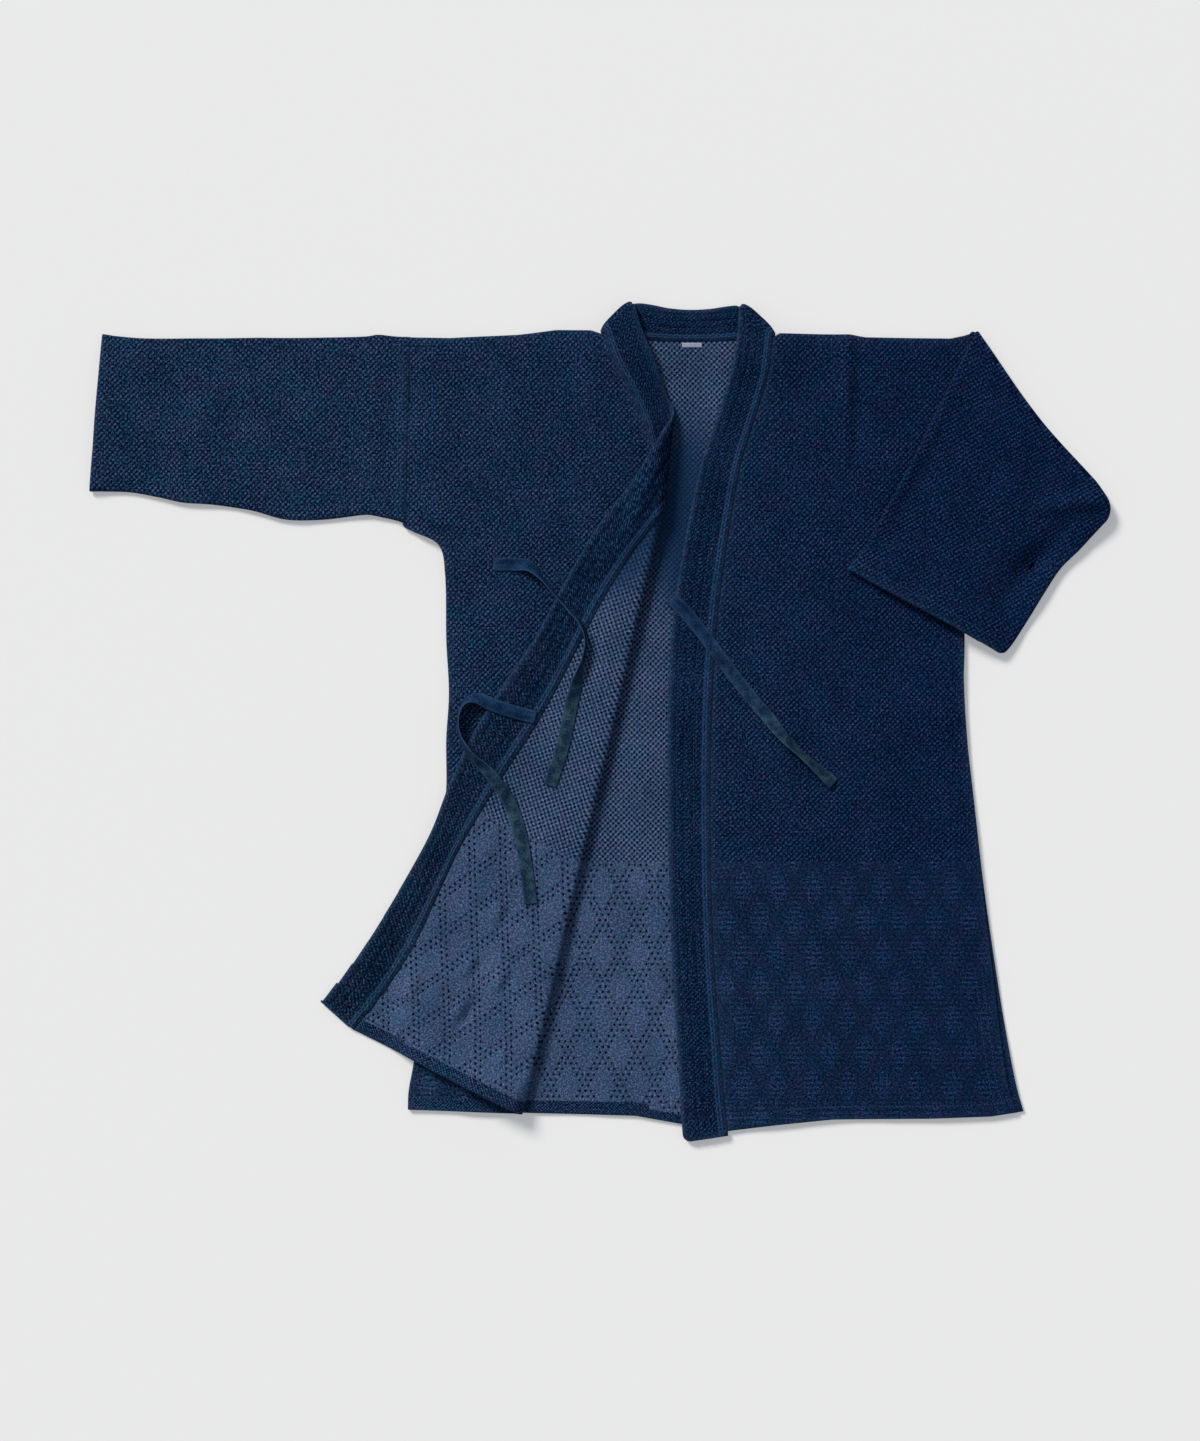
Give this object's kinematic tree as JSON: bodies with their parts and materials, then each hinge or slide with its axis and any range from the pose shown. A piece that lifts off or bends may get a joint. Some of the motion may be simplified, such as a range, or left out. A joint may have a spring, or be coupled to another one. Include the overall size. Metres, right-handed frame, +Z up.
{
  "type": "kendo jacket",
  "caption": "Indigo quilted-weave kendo jacket laid flat, one front turned back and one sleeve folded in.",
  "frame": {"origin": "on the surface the jacket lies on, under the middle of its bounding box", "axes": "+X across the jacket towards the wearer's left sleeve, +Y from hem to collar, +Z up out of the surface"},
  "size_m": [1.152, 0.9342, 0.0273],
  "materials": {
    "outer_cloth": "matt indigo rice-grain weave, diamond weave in the skirt",
    "inner_cloth": "matt slate blue reverse of the weave with rows of small dark holes",
    "band_cloth": "matt indigo weave, doubled and stitched in rows along its length",
    "tie_tape": "matt plain-woven blue cotton strap",
    "label_tape": "bare pale grey woven tape"
  },
  "bodies": {
    "root": {"back_panel": "inner_cloth", "right_front": "outer_cloth", "left_front": "outer_cloth", "collar_band": "band_cloth", "right_sleeve": "outer_cloth", "left_sleeve": "outer_cloth", "chest_tie": "tie_tape", "hip_tie": "tie_tape", "left_tie": "tie_tape", "neck_label": "label_tape"}
  },
  "joints": []
}
